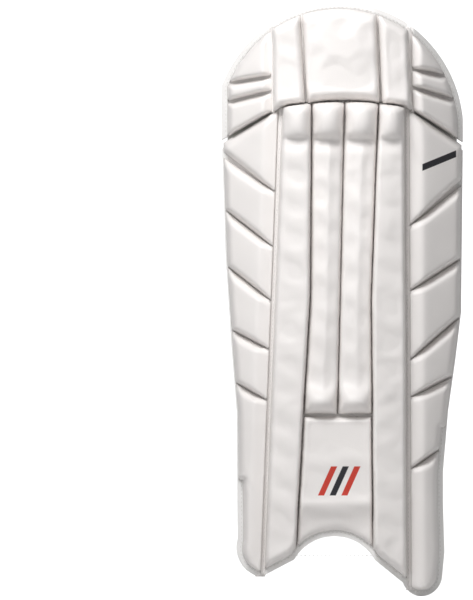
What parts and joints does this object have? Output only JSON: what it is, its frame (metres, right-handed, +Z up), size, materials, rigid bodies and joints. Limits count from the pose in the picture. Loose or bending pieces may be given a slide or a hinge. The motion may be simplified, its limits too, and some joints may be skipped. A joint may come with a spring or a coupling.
{
  "type": "cricket leg pad",
  "caption": "Wicket-keeper's leg pad: stuffed vertical rolls, moulded wings and crown, knee cup and buckled straps, shown strapped shut.",
  "frame": {"origin": "centre of the shin cushion's rear face, where the wearer's shin rests", "axes": "+Z up the leg, +Y from the front of the pad towards the wearer's calf, +X to the right of someone who faces the pad"},
  "size_m": [0.251, 0.1733, 0.612],
  "materials": {
    "facing": "white grained synthetic leather",
    "lining": "off-white lining cloth",
    "foam": "closed-cell foam",
    "binding": "woven edge binding",
    "padding": "cloth-covered padding",
    "webbing": "woven webbing",
    "hook_loop": "hook and loop fastening",
    "steel": "nickel-plated wire",
    "cane": "bare cane"
  },
  "bodies": {
    "shin_guard": {"cane_rods": "cane", "crown_backing": "foam", "crown_binding": "binding", "crown_blocks_left": "facing", "crown_blocks_right": "facing", "crown_centre_panel": "facing", "crown_lining": "lining", "crown_side_panel_left": "facing", "crown_side_panel_right": "facing", "instep_binding": "binding", "instep_pad": "facing", "knee_cup": "padding", "knee_gusset": "lining", "knee_roll_1": "facing", "knee_roll_2": "facing", "knee_roll_3": "facing", "knee_roll_4": "facing", "middle_roll_left": "facing", "middle_roll_right": "facing", "outer_roll_left": "facing", "outer_roll_right": "facing", "shin_backing": "foam", "shin_bolster_left": "padding", "shin_bolster_right": "padding", "shin_cushion": "padding", "shin_lining": "lining"},
    "left_wing": {"ring_keepers": "webbing", "wing_backing_left": "foam", "wing_binding_left": "binding", "wing_lining_left": "lining", "wing_panel_left_1": "facing", "wing_panel_left_2": "facing", "wing_panel_left_3": "facing", "wing_panel_left_4": "facing", "wing_panel_left_5": "facing", "wing_panel_left_6": "facing"},
    "right_wing": {"closure_tabs": "webbing", "loop_patches": "hook_loop", "wing_backing_right": "foam", "wing_binding_right": "binding", "wing_lining_right": "lining", "wing_panel_right_1": "facing", "wing_panel_right_2": "facing", "wing_panel_right_3": "facing", "wing_panel_right_4": "facing", "wing_panel_right_5": "facing", "wing_panel_right_6": "facing"},
    "ring_knee_body": {"ring_knee": "steel"},
    "strap_knee_body": {"strap_knee": "webbing", "strap_hook_knee": "hook_loop", "strap_pad_knee": "padding"},
    "ring_calf_body": {"ring_calf": "steel"},
    "strap_calf_body": {"strap_calf": "webbing", "strap_hook_calf": "hook_loop", "strap_pad_calf": "padding"},
    "ring_ankle_body": {"ring_ankle": "steel"},
    "strap_ankle_body": {"strap_ankle": "webbing", "strap_hook_ankle": "hook_loop", "strap_pad_ankle": "padding"}
  },
  "joints": [
    {"name": "left_wing_flex", "type": "hinge", "parent": "shin_guard", "child": "left_wing", "pos_m": [-0.07826, -0.00108, -0.246], "axis": [0.038, 0, 0.9993], "range_deg": [0, 12], "stiffness_Nm_per_rad": 0.6},
    {"name": "right_wing_flex", "type": "hinge", "parent": "shin_guard", "child": "right_wing", "pos_m": [0.07109, -0.00078, -0.246], "axis": [0.0043, 0, -1], "range_deg": [0, 12], "stiffness_Nm_per_rad": 0.6},
    {"name": "knee_ring_swing", "type": "hinge", "parent": "left_wing", "child": "ring_knee_body", "pos_m": [-0.11092, 0.04608, 0.12], "axis": [0, 0, 1], "range_deg": [0, 35]},
    {"name": "knee_strap_swing", "type": "hinge", "parent": "ring_knee_body", "child": "strap_knee_body", "pos_m": [-0.10873, 0.05848, 0.12], "axis": [0, 0, 1], "range_deg": [0, 110]},
    {"name": "calf_ring_swing", "type": "hinge", "parent": "left_wing", "child": "ring_calf_body", "pos_m": [-0.10294, 0.03458, -0.006], "axis": [0, 0, 1], "range_deg": [0, 35]},
    {"name": "calf_strap_swing", "type": "hinge", "parent": "ring_calf_body", "child": "strap_calf_body", "pos_m": [-0.10075, 0.04699, -0.006], "axis": [0, 0, 1], "range_deg": [0, 110]},
    {"name": "ankle_ring_swing", "type": "hinge", "parent": "left_wing", "child": "ring_ankle_body", "pos_m": [-0.09832, 0.02615, -0.131], "axis": [0, 0, 1], "range_deg": [0, 35]},
    {"name": "ankle_strap_swing", "type": "hinge", "parent": "ring_ankle_body", "child": "strap_ankle_body", "pos_m": [-0.09614, 0.03856, -0.131], "axis": [0, 0, 1], "range_deg": [0, 110]}
  ],
  "couplings": [
    {"joint": "right_wing_flex", "follows": "left_wing_flex", "ratio": 1}
  ]
}
